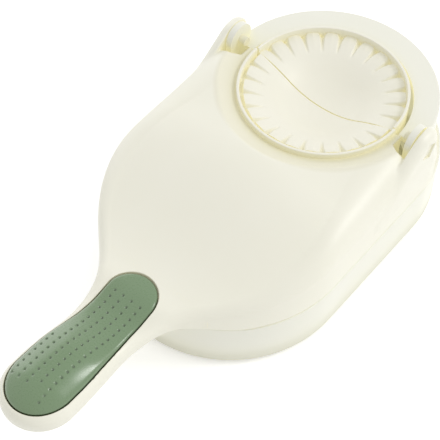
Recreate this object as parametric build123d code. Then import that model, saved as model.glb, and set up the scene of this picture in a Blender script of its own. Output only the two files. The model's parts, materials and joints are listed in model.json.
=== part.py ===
from build123d import *
import math
import os

# Hand press for empanadas and dumplings, in millimetres, +Z up.
# A lever with a wide cap closes over a tub and presses a ball of dough into a
# wrapper. One half of a crimping mould stands on the base behind the hinge, the
# other half rides on the lever, and the two close on each other when the lever
# is thrown right over. The pieces are drawn with the hinge axis as origin (X
# along the hinge, +Y to the rear) and moved at the end, so that the table is
# at z = 0 and the origin lies under the middle of the press.

# ---- driving dimensions: stance and body plan
HINGE_HEIGHT = 68.0        # hinge axis, and the plane of the mould rims, above the table
BODY_RADIUS = 65.3         # half width of the body and radius of its two round ends
BED_SETBACK = 76.0         # hinge axis to the centre of the wrapper bed
WALL = 2.4                 # moulded wall
PARTING_DROP = 36.0        # hinge axis down to the lower edge of the lever cap
PARTING_GAP = 0.3          # daylight between lever cap and tub
FOOT_HEIGHT = 1.2          # how far the rubber feet hold the body off the table
BASE_ROUND = 2.5           # rounding of the body's lower edge

# ---- driving dimensions: tub, bottom cover, wrapper bed
DECK_DROP = 49.0           # hinge axis down to the deck that carries the bed
DECK_THICK = 2.5
FLANGE_THICK = 3.0         # inward flange that the bottom cover is screwed to
FLANGE_WIDTH = 15.3        # from the body's outside to the opening inside that flange
COVER_INSET = 7.1          # from the body's outside to the edge of the cover
COVER_THICK = 2.0
COVER_GAP = 0.3
BED_MARGIN = 16.3          # from the body's outside to the edge of the bed
BED_THICK = 3.0
BED_LIP = 2.2              # height of the lip that limits the wrapper
BED_LIP_WIDTH = 2.0
WRAPPER_GAP = 1.0          # wrapper thickness left between press head and bed

# ---- driving dimensions: hinge tower and halo
TOWER_SETBACK = 3.3        # centre of the tower's round wall behind the hinge axis
TOWER_FRONT = 0.5          # front face of the tower behind the hinge axis
HALO_EDGE_DROP = 4.0       # halo surface below the hinge axis at its outer edge
HALO_HOLE_DROP = 3.2       # and at the hole for the mould
HALO_THICK = 3.4
HALO_ROUND = 1.0           # rounding of its outer edge
HALO_HOLE_GAP = 1.5        # the hole for the mould is this much wider than the lever's rim
LUG_THICK = 3.5
LUG_RADIUS = 8.5
TOWER_WALL_DROP = 20.0     # top of the tower's front wall under the mould

# ---- driving dimensions: crimping mould
RIM_INSET = 20.2           # from the body's outside to the outside of the rim on the lever
RIM_WALL = 1.6
REAR_RIM_STEP = 0.8        # the rim on the base is this much smaller in radius
REAR_RIM_WALL = 1.5
RIM_CLEARANCE = 0.15       # each half keeps this far from the hinge planes
SEAT_GAP = 0.5             # lever mould half inside the rim
BOWL_DEPTH = 16.0
BOWL_EDGE_DROP = 8.5       # where the bowl turns into the slope up to the crimping band
BOWL_SLOPE_WIDTH = 5.0
PAD_INNER_DROP = 5.5
PAD_OUTER_DROP = 3.0
PAD_WIDTH = 10.3           # crimping band
LAND_STEP = 0.1            # between the band and the inside of the rim
MOULD_THICK = 2.2
SKIRT_DROP = 12.0          # lower end of the mould's round skirt
GROOVES_PER_HALF = 12
GROOVE_PITCH = 14.4        # degrees
GROOVE_DEPTH = 2.6         # at the outer end
GROOVE_SPREAD = 3.2        # width at the outer end
GROOVE_INNER_DEPTH = 0.3
GROOVE_START = 0.5         # outside the inner edge of the band

# ---- driving dimensions: lever cap
DISH_WIDTH = 12.4          # from the rim out to the round crest
CREST_RISE = 3.0
REAR_RISE = 0.4            # the cap stands this much higher beside the hinge
CREST_FLARE = 1.0          # how far the cut above the crest opens outwards
DISH_DROP = 4.0            # foot of the rim in the dish
EAR_THICK = 6.2
EAR_RISE = 8.0
EAR_REACH = 10.0           # behind the hinge axis
EAR_RUN = 27.0             # where the ear melts into the cap, in front of the axis
EAR_DEPTH = 14.0
EAR_BROW = 14.5            # where the ear's top starts to fall, in front of the axis
EAR_BROW_RISE = 3.3
EAR_ROUND = 7.0
EAR_EDGE = 5.5
NOTCH_ROOM = 6.0           # slot in the dish, this far inside the base lug that stands in it
NOTCH_FRONT = 12.5
NOTCH_CORNER = 8.0         # where the slant at its inner front corner begins, in front of the axis
NOTCH_SLANT = 5.0          # width of that slant
NECK_OVERHANG = 0.7        # the cap has come down to the handle this far beyond the tub
HANDLE_TOP_DROP = 20.0
HANDLE_EDGE_DROP = 28.8
EDGE_RISE_START = 21.3     # the lower edge starts to rise this far behind the tub's front
EDGE_RISE_END = 8.7        # and ends this far beyond it
SHOULDER_DROP = 15.0       # where the side wall starts to turn over, beside the bed
SHOULDER_REAR_DROP = 8.0   # the same beside the hinge
HANDLE_SHOULDER_DROP = 25.0
CORNER_WIDTH = 12.5        # width of the rounding along the cap's sides
HANDLE_CORNER_WIDTH = 4.5
CROWN = 5.5                # how far the cap's top falls towards its sides, beside the bed
CROWN_START = 20.0         # and where that fall sets in
HANDLE_CROWN = 0.5
OVER_STEPS = (0.0, 0.075, 0.15, 0.5, 0.85, 0.925, 1.0)   # the seven points' shares of a section's length

# ---- driving dimensions: handle plan
WAIST_HALF = 17.0
NECK_RADIUS = 62.0         # concave sweep from the cap into the waist
BULB_RADIUS = 20.3
BULB_SETBACK = 208.4
BULB_ANGLES = (22, 42, 58, 70, 79, 85)   # where the round end is sectioned, in degrees

# ---- driving dimensions: grip pad
GRIP_FRONT_RADIUS = 13.8
GRIP_FRONT_SETBACK = 150.9
GRIP_WAIST_HALF = 13.4
GRIP_WAIST_SETBACK = 167.0
GRIP_END_RADIUS = 16.6
GRIP_END_SETBACK = 210.6
GRIP_THICK = 3.4
GRIP_SEAT_WALL = 2.2
GRIP_GAP = 0.25
GRIP_PROUD = 1.2
GRIP_ROUND = 1.3

# ---- driving dimensions: lever underside
LINER_DROP = 34.2          # underside of the liner
LINER_THICK = 2.0
LINER_GAP = 0.25
LINER_REAR = 3.0
LINER_END_INSET = 9.3      # behind the tub's front
LINER_WALL_TOP = 21.0
CHEEK_CLEARANCE = 2.0
HEAD_SIDE_GAP = 2.0        # between the head and the bed's lip
HEAD_WALL = 2.4
HEAD_FACE = 3.0
HEAD_DRAFT = 1.0

# ---- driving dimensions: hinge pins
PIN_RADIUS = 2.5
PIN_RUNNING_GAP = 0.05
PIN_OVERRUN = 4.0          # past the inside of the lug
PIN_PLATE_THICK = 1.8
PIN_PLATE_WIDTH = 6.4
PIN_PLATE_HEIGHT = 8.0
PIN_RECESS = 1.2
HINGE_SIDE_GAP = 0.6

# ---- driving dimensions: fasteners and feet
SCREW_RADIUS = 1.25
SCREW_HEAD_RADIUS = 2.6
SCREW_HEAD = 1.6
SCREW_FIT = 0.05
SCREW_TIP_GAP = 0.5
CROSS_WIDTH = 0.6
CROSS_DEPTH = 0.8
BOSS_RADIUS = 3.6
TAB_REACH = 5.9            # from the lever's rim out to a tab's screw
TAB_THICK = 2.0
TAB_BITE = 4.5             # length of screw in the material it holds
TAB_ANGLES = (30.0, 90.0, 150.0)
FOOT_RADIUS = 6.0
FOOT_SINK = 0.8
FOOT_INSET = 15.0          # from the body's outside to a foot's centre
FOOT_ANGLE = 53.0          # of each foot about the centre of its round end
LINER_SCREW_INSET = 8.0    # from the body's outside to a liner screw
LINER_SCREW_REAR = 28.0    # rear pair, behind the bed's centre
LINER_SCREW_ANGLE = 31.5   # front pair, about the bed's centre
HANDLE_SCREW_SETBACKS = (158.0, 204.0)
INNER_SCREW_INSET = 19.0   # from the edge of the bed

# ---- places worked out from the sizes above
HANDLE_END = BULB_SETBACK + BULB_RADIUS
HINGE_Y = (HANDLE_END - BODY_RADIUS) / 2
BODY_BOTTOM = FOOT_HEIGHT - HINGE_HEIGHT
BODY_TOP = -PARTING_DROP - PARTING_GAP
DECK_TOP = -DECK_DROP
DECK_UNDER = DECK_TOP - DECK_THICK
COVER_TOP = BODY_BOTTOM + COVER_THICK
FLANGE_TOP = COVER_TOP + FLANGE_THICK
BED_TOP = DECK_TOP + BED_THICK
HEAD_BOTTOM = BED_TOP + WRAPPER_GAP
LINER_UNDER = -LINER_DROP
LINER_TOP = LINER_UNDER + LINER_THICK
EAR_INNER = BODY_RADIUS - EAR_THICK
TOWER_RADIUS = EAR_INNER - HINGE_SIDE_GAP
LUG_INNER = TOWER_RADIUS - LUG_THICK
FLANGE_RADIUS = BODY_RADIUS - FLANGE_WIDTH
COVER_RADIUS = BODY_RADIUS - COVER_INSET
COVER_SCREW_RADIUS = (FLANGE_RADIUS + COVER_RADIUS) / 2
HALO_UNDER = -HALO_HOLE_DROP - HALO_THICK
TAB_TOP = -SKIRT_DROP + TAB_THICK
RIM_RADIUS = BODY_RADIUS - RIM_INSET
REAR_RIM_RADIUS = RIM_RADIUS - REAR_RIM_STEP
HALO_HOLE_RADIUS = RIM_RADIUS + HALO_HOLE_GAP
CREST_RADIUS = RIM_RADIUS + DISH_WIDTH
TAB_RADIUS = RIM_RADIUS + TAB_REACH
LEVER_MOULD_RADIUS = RIM_RADIUS - RIM_WALL - SEAT_GAP
PAD_OUTER_RADIUS = LEVER_MOULD_RADIUS - RIM_WALL - LAND_STEP
PAD_INNER_RADIUS = PAD_OUTER_RADIUS - PAD_WIDTH
BOWL_EDGE_RADIUS = PAD_INNER_RADIUS - BOWL_SLOPE_WIDTH
GROOVE_INNER_RADIUS = PAD_INNER_RADIUS + GROOVE_START
NOTCH_INNER = LUG_INNER - NOTCH_ROOM
PIN_INNER_END = LUG_INNER - PIN_OVERRUN
BED_RADIUS = BODY_RADIUS - BED_MARGIN
HEAD_RADIUS = BED_RADIUS - BED_LIP_WIDTH - HEAD_SIDE_GAP
INNER_SCREW_RADIUS = BED_RADIUS - INNER_SCREW_INSET
TUB_FRONT = BED_SETBACK + BODY_RADIUS
NECK_START = TUB_FRONT + NECK_OVERHANG
LINER_END = TUB_FRONT - LINER_END_INSET
GRIP_FLOOR = -HANDLE_TOP_DROP + GRIP_PROUD - GRIP_THICK
HANDLE_COVER_UNDER = -HANDLE_EDGE_DROP + SCREW_HEAD
REACH = 400.0              # size of the blocks used for trimming


# ---- helpers

def prism(sketch, low, high):
    """Straight upright solid between two heights."""
    return extrude(Pos(0, 0, low) * sketch, amount=high - low)


def slab(x, y, z):
    """Block given by its lowest and highest corner on each axis."""
    size = (x[1] - x[0], y[1] - y[0], z[1] - z[0])
    centre = ((x[0] + x[1]) / 2, (y[0] + y[1]) / 2, (z[0] + z[1]) / 2)
    return Pos(*centre) * Box(*size)


def rod(x_low, x_high, radius):
    """Cylinder along the hinge axis."""
    return Pos((x_low + x_high) / 2, 0, 0) * Rot(0, 90, 0) * Cylinder(radius, x_high - x_low)


def post(x, y, low, high, radius):
    """Upright cylinder between two heights."""
    return Pos(x, y, (low + high) / 2) * Cylinder(radius, high - low)


def turned(points):
    """Solid of revolution about the mould's upright axis from (radius, height) points."""
    profile = Plane.XZ * make_face(Polyline(*points, close=True))
    return revolve(profile, Axis.Z)


def stadium(radius):
    """Plan of the body: two round ends joined by straight sides."""
    return Pos(0, -BED_SETBACK / 2) * SlotCenterToCenter(BED_SETBACK, 2 * radius, rotation=90)


def mirrored_pair(solid):
    """The piece and its mirror image in the middle plane."""
    return solid + mirror(solid, Plane.YZ)


def joined(solids):
    """Union of a list of solids."""
    total = solids[0]
    for solid in solids[1:]:
        total = total + solid
    return total


def on_circle(radius, degrees, centre_y=0.0):
    """Plan point at an angle on a circle about a point of the middle plane."""
    turn = math.radians(degrees)
    return radius * math.cos(turn), centre_y + radius * math.sin(turn)


def eased(value, start, end):
    """0 before start, 1 after end, a smooth blend between."""
    share = min(max((value - start) / (end - start), 0.0), 1.0)
    return share * share * (3.0 - 2.0 * share)


# ---- lever cap: a family of cross-sections along the handle

def neck_sweep():
    """Centre (x, setback) of the concave arc that leads from the cap into the waist."""
    centre_x = WAIST_HALF + NECK_RADIUS
    run = math.sqrt((BODY_RADIUS + NECK_RADIUS) ** 2 - centre_x ** 2)
    return centre_x, BED_SETBACK + run


def neck_touch(inset):
    """Setback at which that arc leaves the round front of the cap."""
    share = (BODY_RADIUS - inset) / (BODY_RADIUS + NECK_RADIUS)
    return BED_SETBACK + (neck_sweep()[1] - BED_SETBACK) * share


def half_width(setback, inset):
    """Half width of the lever's plan, moved inwards by inset, at a distance in front of the hinge."""
    sweep_x, sweep_setback = neck_sweep()
    body = BODY_RADIUS - inset
    sweep = NECK_RADIUS + inset
    if setback <= BED_SETBACK:
        return body
    if setback <= neck_touch(inset):
        return math.sqrt(body ** 2 - (setback - BED_SETBACK) ** 2)
    if setback <= sweep_setback:
        return sweep_x - math.sqrt(sweep ** 2 - (setback - sweep_setback) ** 2)
    if setback <= BULB_SETBACK:
        widening = (BULB_RADIUS - WAIST_HALF) * eased(setback, sweep_setback, BULB_SETBACK)
        return WAIST_HALF - inset + widening
    return math.sqrt((BULB_RADIUS - inset) ** 2 - (setback - BULB_SETBACK) ** 2)


def crown_height(setback):
    """Height of the cap along its middle line."""
    fall = eased(setback, CREST_RADIUS, NECK_START)
    rise_at_rear = REAR_RISE * (1.0 - eased(setback, 0.0, CREST_RADIUS))
    return CREST_RISE + rise_at_rear - (CREST_RISE + HANDLE_TOP_DROP) * fall


def cap_section(setback, inset, extra_depth):
    """One closed cross-section of the cap, moved inwards by inset."""
    to_handle = eased(setback, BED_SETBACK, NECK_START)
    to_bed = eased(setback, 0.0, CREST_RADIUS)
    side = half_width(setback, inset)
    shrink = min(1.0, side / (WAIST_HALF - inset))
    corner = shrink * (CORNER_WIDTH + (HANDLE_CORNER_WIDTH - CORNER_WIDTH) * to_handle)
    crown = CROWN * eased(setback, CROWN_START, BED_SETBACK) + (HANDLE_CROWN - CROWN) * to_handle
    top = crown_height(setback)
    edge = top - crown
    rear_shoulder = -SHOULDER_REAR_DROP + (SHOULDER_REAR_DROP - SHOULDER_DROP) * to_bed
    shoulder = rear_shoulder + (SHOULDER_DROP - HANDLE_SHOULDER_DROP) * to_handle
    rise = eased(setback, TUB_FRONT - EDGE_RISE_START, TUB_FRONT + EDGE_RISE_END)
    lift = (PARTING_DROP - HANDLE_EDGE_DROP) * rise
    lower = -PARTING_DROP + lift - extra_depth
    turn = math.sqrt(0.5)
    knee = (side - (1.0 - turn) * corner, shoulder + turn * (edge - shoulder) - inset * turn)
    brow = (side - corner, edge - inset)
    right = [(side, shoulder), knee, brow]
    left = [(-x, z) for x, z in reversed(right)]
    points = [Vector(x, z) for x, z in right + [(0.0, top - inset)] + left]
    run = sum(abs(near - far) for near, far in zip(points, points[1:]))
    ends = [Vector(0, run), Vector(0, -run)]
    over = Edge.make_spline(points, tangents=ends, parameters=OVER_STEPS, scale=False)
    foot = Polyline((-side, shoulder), (-side, lower), (side, lower), (side, shoulder))
    return Plane.XZ.offset(setback) * make_face(over + foot)


def spread(start, end, steps):
    """Even stations after start, up to and including end."""
    return [start + (end - start) * step / steps for step in range(1, steps + 1)]


def section_setbacks(inset):
    """Stations of the cross-sections, closer together in the neck and round the end."""
    sweep_setback = neck_sweep()[1]
    touch = neck_touch(inset)
    body = [-EAR_REACH] + spread(-EAR_REACH, BED_SETBACK, 6)
    front = spread(BED_SETBACK, touch, 5)
    neck = spread(touch, sweep_setback, 5)
    handle = spread(sweep_setback, BULB_SETBACK, 3)
    bulb = [BULB_SETBACK + (BULB_RADIUS - inset) * math.sin(math.radians(angle)) for angle in BULB_ANGLES]
    return body + front + neck + handle + bulb


def cap_solid(inset, extra_depth=0.0):
    """The whole cap and handle as one solid, moved inwards by inset."""
    return loft([cap_section(setback, inset, extra_depth) for setback in section_setbacks(inset)])


# ---- fasteners

def screw(x, y, seat, tip, up=True):
    """Pan-head screw standing on its seat plane, its shank reaching to tip."""
    way = 1.0 if up else -1.0
    head_end = seat - way * SCREW_HEAD
    head = post(x, y, min(seat, head_end), max(seat, head_end), SCREW_HEAD_RADIUS)
    shank = post(x, y, min(seat, tip), max(seat, tip), SCREW_RADIUS)
    body = head + shank
    span = 2 * SCREW_HEAD_RADIUS * math.sqrt(0.5)
    for size in ((span, CROSS_WIDTH), (CROSS_WIDTH, span)):
        cut = Pos(x, y, head_end) * Box(size[0], size[1], 2 * CROSS_DEPTH)
        body = body - cut
    return body


def pilot(x, y, low, high):
    """Hole for a screw's shank."""
    return post(x, y, low, high, SCREW_RADIUS + SCREW_FIT)


def tab_places(side):
    """Plan points of the screws that hold a mould half; side is +1 rear, -1 lever."""
    return [on_circle(TAB_RADIUS, side * angle) for angle in TAB_ANGLES]


def cover_screw_places():
    """Plan points of the bottom cover's screws."""
    rear = [on_circle(COVER_SCREW_RADIUS, angle) for angle in (0.0, 90.0, 180.0)]
    front = [on_circle(COVER_SCREW_RADIUS, angle, -BED_SETBACK) for angle in (0.0, 180.0, 270.0)]
    return rear + front


def liner_screw_places():
    """Plan points of the liner's screws."""
    circle = BODY_RADIUS - LINER_SCREW_INSET
    rear = (circle, LINER_SCREW_REAR - BED_SETBACK)
    front = on_circle(circle, -LINER_SCREW_ANGLE, -BED_SETBACK)
    return [(side * x, y) for x, y in (rear, front) for side in (1, -1)]


def ring_places(radius, centre_y):
    """Four plan points on the diagonals about a centre."""
    return [on_circle(radius, angle, centre_y) for angle in (45.0, 135.0, 225.0, 315.0)]


# ---- base pieces

def base_tower():
    """Housing that stands up behind the hinge, closed on top by the sloping halo."""
    rim = [(0, BODY_TOP - WALL), (TOWER_RADIUS, BODY_TOP - WALL), (TOWER_RADIUS, -HALO_EDGE_DROP),
           (HALO_HOLE_RADIUS, -HALO_HOLE_DROP), (0, -HALO_HOLE_DROP)]
    tower = Pos(0, TOWER_SETBACK, 0) * turned(rim)
    edge = tower.edges().filter_by(GeomType.CIRCLE).group_by(SortBy.RADIUS)[-1].sort_by(Axis.Z)[-1]
    tower = fillet(edge, HALO_ROUND)
    return tower & slab((-REACH, REACH), (TOWER_FRONT, REACH), (-REACH, REACH))


def tower_hollow():
    """Room inside the tower, open to the underside of the body."""
    inside = prism(Pos(0, TOWER_SETBACK) * Circle(TOWER_RADIUS - WALL), DECK_UNDER, HALO_UNDER)
    return inside & slab((-REACH, REACH), (TOWER_FRONT + WALL, REACH), (-REACH, REACH))


def hinge_lug():
    """Right-hand lug: the tower's side wall run forward and rounded about the hinge axis."""
    eye = rod(LUG_INNER, TOWER_RADIUS, LUG_RADIUS)
    cheek = slab((LUG_INNER, TOWER_RADIUS), (-LUG_RADIUS, TOWER_SETBACK + WALL), (DECK_UNDER, 0))
    return eye + cheek


def base_shell():
    """Tub in front, hinge tower with the halo behind, one moulding open underneath."""
    body = prism(stadium(BODY_RADIUS), BODY_BOTTOM, BODY_TOP)
    body = fillet(body.edges().group_by(Axis.Z)[0], BASE_ROUND)
    body = fillet(body.edges().group_by(Axis.Z)[-1], WALL / 2)
    inner = stadium(BODY_RADIUS - WALL)
    behind = slab((-REACH, REACH), (TOWER_FRONT + WALL, REACH), (-REACH, REACH))
    ahead = slab((-REACH, REACH), (-REACH, TOWER_FRONT), (-REACH, REACH))
    body = body - prism(inner, FLANGE_TOP, DECK_UNDER)
    body = body - prism(stadium(FLANGE_RADIUS), BODY_BOTTOM, FLANGE_TOP)
    body = body - prism(stadium(COVER_RADIUS + COVER_GAP), BODY_BOTTOM, COVER_TOP)
    body = body - (prism(inner, DECK_TOP, BODY_TOP) & ahead)
    body = body - (prism(inner, DECK_UNDER, BODY_TOP - WALL) & behind)
    body = body + base_tower() - tower_hollow()
    body = body + mirrored_pair(hinge_lug())
    body = body - post(0, 0, HALO_UNDER, 0, HALO_HOLE_RADIUS)
    window = LUG_INNER - WALL
    front_wall = (TOWER_FRONT, TOWER_FRONT + WALL)
    body = body - slab((-window, window), front_wall, (-TOWER_WALL_DROP, HALO_UNDER))
    for x, y in tab_places(1):
        body = body + post(x, y, TAB_TOP, HALO_UNDER, BOSS_RADIUS)
        body = body - pilot(x, y, TAB_TOP, TAB_TOP + TAB_BITE + SCREW_TIP_GAP)
    for x, y in cover_screw_places():
        body = body + post(x, y, FLANGE_TOP, FLANGE_TOP + WALL, BOSS_RADIUS)
        body = body - pilot(x, y, COVER_TOP, FLANGE_TOP + WALL)
    for x, y in ring_places(INNER_SCREW_RADIUS, -BED_SETBACK):
        body = body - pilot(x, y, DECK_UNDER, DECK_TOP)
    return body - mirrored_pair(rod(LUG_INNER, TOWER_RADIUS, PIN_RADIUS + PIN_RUNNING_GAP))


def foot_places():
    """Plan point of each rubber foot by name."""
    circle = BODY_RADIUS - FOOT_INSET
    return {
        "foot_front_left": on_circle(circle, 180.0 + FOOT_ANGLE, -BED_SETBACK),
        "foot_front_right": on_circle(circle, -FOOT_ANGLE, -BED_SETBACK),
        "foot_rear_left": on_circle(circle, 180.0 - FOOT_ANGLE),
        "foot_rear_right": on_circle(circle, FOOT_ANGLE),
    }


def bottom_cover():
    """Plate that closes the body from below, with sinks for the feet."""
    plate = prism(stadium(COVER_RADIUS), BODY_BOTTOM, COVER_TOP)
    for x, y in foot_places().values():
        plate = plate - post(x, y, BODY_BOTTOM, BODY_BOTTOM + FOOT_SINK, FOOT_RADIUS + SCREW_FIT)
    for x, y in cover_screw_places():
        plate = plate - pilot(x, y, BODY_BOTTOM, COVER_TOP)
    return plate


def foot(x, y):
    """Rubber disc let into the bottom cover."""
    disc = post(x, y, -HINGE_HEIGHT, BODY_BOTTOM + FOOT_SINK, FOOT_RADIUS)
    return chamfer(disc.edges().group_by(Axis.Z)[0], FOOT_SINK)


def bottom_cover_screws():
    """Screws that hold the bottom cover, driven from below."""
    tip = FLANGE_TOP + WALL / 2
    return [screw(x, y, BODY_BOTTOM, tip) for x, y in cover_screw_places()]


def press_bed():
    """Round bed for the dough with a lip round it, screwed down on the deck."""
    top = BED_TOP + BED_LIP
    inner = BED_RADIUS - BED_LIP_WIDTH
    points = [(0, DECK_TOP), (BED_RADIUS, DECK_TOP), (BED_RADIUS, top),
              (inner, top), (inner, BED_TOP), (0, BED_TOP)]
    bed = Pos(0, -BED_SETBACK, 0) * turned(points)
    bed = fillet(bed.edges().group_by(Axis.Z)[-1], BED_LIP_WIDTH / 4)
    for x, y in ring_places(INNER_SCREW_RADIUS, -BED_SETBACK):
        bed = bed - pilot(x, y, DECK_TOP, BED_TOP - SCREW_TIP_GAP)
    return bed


def press_bed_screws():
    """Screws that hold the bed, driven up through the deck."""
    tip = BED_TOP - 2 * SCREW_TIP_GAP
    places = ring_places(INNER_SCREW_RADIUS, -BED_SETBACK)
    return [screw(x, y, DECK_UNDER, tip) for x, y in places]


# ---- crimping mould

def mould_profile(rim, rim_wall, rim_top):
    """Half section of a mould half: bowl, crimping band and round skirt."""
    land = rim - rim_wall
    inside = [(0, -BOWL_DEPTH)]
    rise = BOWL_DEPTH - BOWL_EDGE_DROP
    sphere = (BOWL_EDGE_RADIUS ** 2 + rise ** 2) / (2 * rise)
    for share in (0.25, 0.5, 0.75, 1.0):
        radius = BOWL_EDGE_RADIUS * share
        inside.append((radius, -BOWL_DEPTH + sphere - math.sqrt(sphere ** 2 - radius ** 2)))
    inside.append((PAD_INNER_RADIUS, -PAD_INNER_DROP))
    inside.append((PAD_OUTER_RADIUS, -PAD_OUTER_DROP))
    under = [(radius, height - MOULD_THICK) for radius, height in reversed(inside[:-1])]
    band_foot = -PAD_OUTER_DROP - MOULD_THICK - GROOVE_DEPTH
    edge = [(land, rim_top), (rim, rim_top), (rim, -SKIRT_DROP), (land, -SKIRT_DROP), (land, band_foot)]
    return inside + edge + under


def groove_cutter(angle):
    """V groove along a radius that deepens towards the rim."""
    start = GROOVE_INNER_RADIUS
    run = PAD_OUTER_RADIUS - start
    slope = (PAD_INNER_DROP - PAD_OUTER_DROP) / (PAD_OUTER_RADIUS - PAD_INNER_RADIUS)
    start_height = -PAD_INNER_DROP + slope * (start - PAD_INNER_RADIUS) - GROOVE_INNER_DEPTH
    fall = (-PAD_OUTER_DROP - GROOVE_DEPTH - start_height) / run
    length = run + REAR_RIM_WALL
    rise = GROOVE_DEPTH + PAD_INNER_DROP
    half = GROOVE_SPREAD / 2 * rise / GROOVE_DEPTH
    section = make_face(Polyline((0, 0), (half, rise), (-half, rise), close=True))
    near = Plane(origin=(start, 0, start_height), x_dir=(0, 1, 0), z_dir=(1, 0, 0))
    end = (start + length, 0, start_height + fall * length)
    far = Plane(origin=end, x_dir=(0, 1, 0), z_dir=(1, 0, 0))
    return Rot(0, 0, angle) * loft([near * section, far * section])


def groove_angles():
    """Angles of the grooves of one half, even about its middle."""
    first = 90.0 - GROOVE_PITCH * (GROOVES_PER_HALF - 1) / 2
    return [first + GROOVE_PITCH * step for step in range(GROOVES_PER_HALF)]


def mould_half(side, rim, rim_wall, rim_top):
    """Half mould; side is +1 for the rear half and -1 for the one on the lever."""
    half = turned(mould_profile(rim, rim_wall, rim_top))
    if side > 0:
        keep = slab((-REACH, REACH), (RIM_CLEARANCE, REACH), (-REACH, REACH))
    else:
        keep = slab((-REACH, REACH), (-REACH, -RIM_CLEARANCE), (-REACH, REACH))
    half = half & keep
    for angle in groove_angles():
        half = half - groove_cutter(side * angle)
    for angle in TAB_ANGLES:
        tongue = slab((rim - rim_wall, TAB_RADIUS), (-BOSS_RADIUS, BOSS_RADIUS), (-SKIRT_DROP, TAB_TOP))
        tongue = tongue + post(TAB_RADIUS, 0, -SKIRT_DROP, TAB_TOP, BOSS_RADIUS)
        tongue = tongue - pilot(TAB_RADIUS, 0, -SKIRT_DROP, TAB_TOP)
        half = half + Rot(0, 0, side * angle) * tongue
    return half


def mould_screws(side):
    """Screws through the tabs of a mould half, driven from below."""
    return [screw(x, y, -SKIRT_DROP, TAB_TOP + TAB_BITE) for x, y in tab_places(side)]


# ---- lever pieces

def dish_cutter(drop):
    """Everything above the round dish and inside its crest, lowered by drop."""
    lip = CREST_RADIUS + CREST_FLARE
    points = [(0, REACH), (0, -DISH_DROP - drop), (RIM_RADIUS, -DISH_DROP - drop),
              (CREST_RADIUS - drop, CREST_RISE - drop), (lip - drop, REACH)]
    return turned(points)


def ear():
    """Right-hand ear: thick rounded cheek that carries the hinge pin."""
    outline = Polyline((-EAR_RUN, -EAR_DEPTH), (-EAR_RUN, -HALO_EDGE_DROP), (-EAR_BROW, EAR_BROW_RISE),
                       (-EAR_ROUND, EAR_RISE), (EAR_REACH, EAR_RISE), (EAR_REACH, -EAR_DEPTH), close=True)
    cheek = extrude(Plane.YZ.offset(EAR_INNER) * make_face(outline), amount=EAR_THICK)
    corner = cheek.edges().filter_by(Axis.X).group_by(Axis.Z)[-1].sort_by(Axis.Y)[-1]
    cheek = fillet(corner, EAR_ROUND)
    crease = [edge for edge in cheek.edges().filter_by(Axis.X)
              if -EAR_RUN < edge.center().Y < 0 and edge.center().Z > 0]
    cheek = fillet(crease, EAR_ROUND)
    outer = cheek.faces().sort_by(Axis.X)[-1]
    rim = [edge for edge in outer.edges() if edge.center().Z > -EAR_DEPTH and edge.center().Y > -EAR_RUN]
    top = [edge for edge in rim if edge.center().Z > CREST_RISE or edge.center().Y < 0]
    return fillet(top, EAR_EDGE)


def notch():
    """Right-hand slot in the dish for the base lug, slanted at its inner front corner."""
    points = ((NOTCH_INNER, EAR_REACH), (NOTCH_INNER, -NOTCH_CORNER),
              (NOTCH_INNER + NOTCH_SLANT, -NOTCH_FRONT), (EAR_INNER, -NOTCH_FRONT), (EAR_INNER, EAR_REACH))
    return prism(make_face(Polyline(*points, close=True)), -PARTING_DROP, REACH)


def pin_seat():
    """Right-hand pocket and bore that the hinge pin is pressed into."""
    pocket = slab((BODY_RADIUS - PIN_RECESS - PIN_PLATE_THICK, BODY_RADIUS),
                  (-PIN_PLATE_WIDTH / 2 - PIN_RUNNING_GAP, PIN_PLATE_WIDTH / 2 + PIN_RUNNING_GAP),
                  (-PIN_PLATE_HEIGHT / 2 - PIN_RUNNING_GAP, PIN_PLATE_HEIGHT / 2 + PIN_RUNNING_GAP))
    return pocket + rod(EAR_INNER, BODY_RADIUS, PIN_RADIUS + PIN_RUNNING_GAP)


def grip_outline(grow=0.0):
    """Plan of the grip pad: two round ends joined by slightly waisted sides."""
    front = GRIP_FRONT_RADIUS + grow
    waist = GRIP_WAIST_HALF + grow
    end = GRIP_END_RADIUS + grow
    near = -GRIP_FRONT_SETBACK
    middle = -GRIP_WAIST_SETBACK
    far = -GRIP_END_SETBACK
    right = Spline((front, near), (waist, middle), (end, far), tangents=((0, -1), (0, -1)))
    left = Spline((-end, far), (-waist, middle), (-front, near), tangents=((0, 1), (0, 1)))
    head = ThreePointArc((-front, near), (0, near + front), (front, near))
    tail = ThreePointArc((end, far), (0, far - end), (-end, far))
    return make_face(right + left + head + tail)


def lever_solids():
    """Material left standing inside the cap: screw posts, dish bosses and the grip's seat."""
    solids = [post(x, y, LINER_TOP, REACH, BOSS_RADIUS) for x, y in liner_screw_places()]
    solids = solids + [post(0, -y, HANDLE_COVER_UNDER + LINER_THICK, REACH, BOSS_RADIUS)
                       for y in HANDLE_SCREW_SETBACKS]
    solids = solids + [post(x, y, TAB_TOP, REACH, BOSS_RADIUS) for x, y in tab_places(-1)]
    solids.append(prism(grip_outline(GRIP_SEAT_WALL), GRIP_FLOOR - GRIP_SEAT_WALL, REACH))
    solids.append(prism(Circle(RIM_RADIUS), -DISH_DROP - 2 * WALL, REACH))
    return joined(solids)


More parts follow.
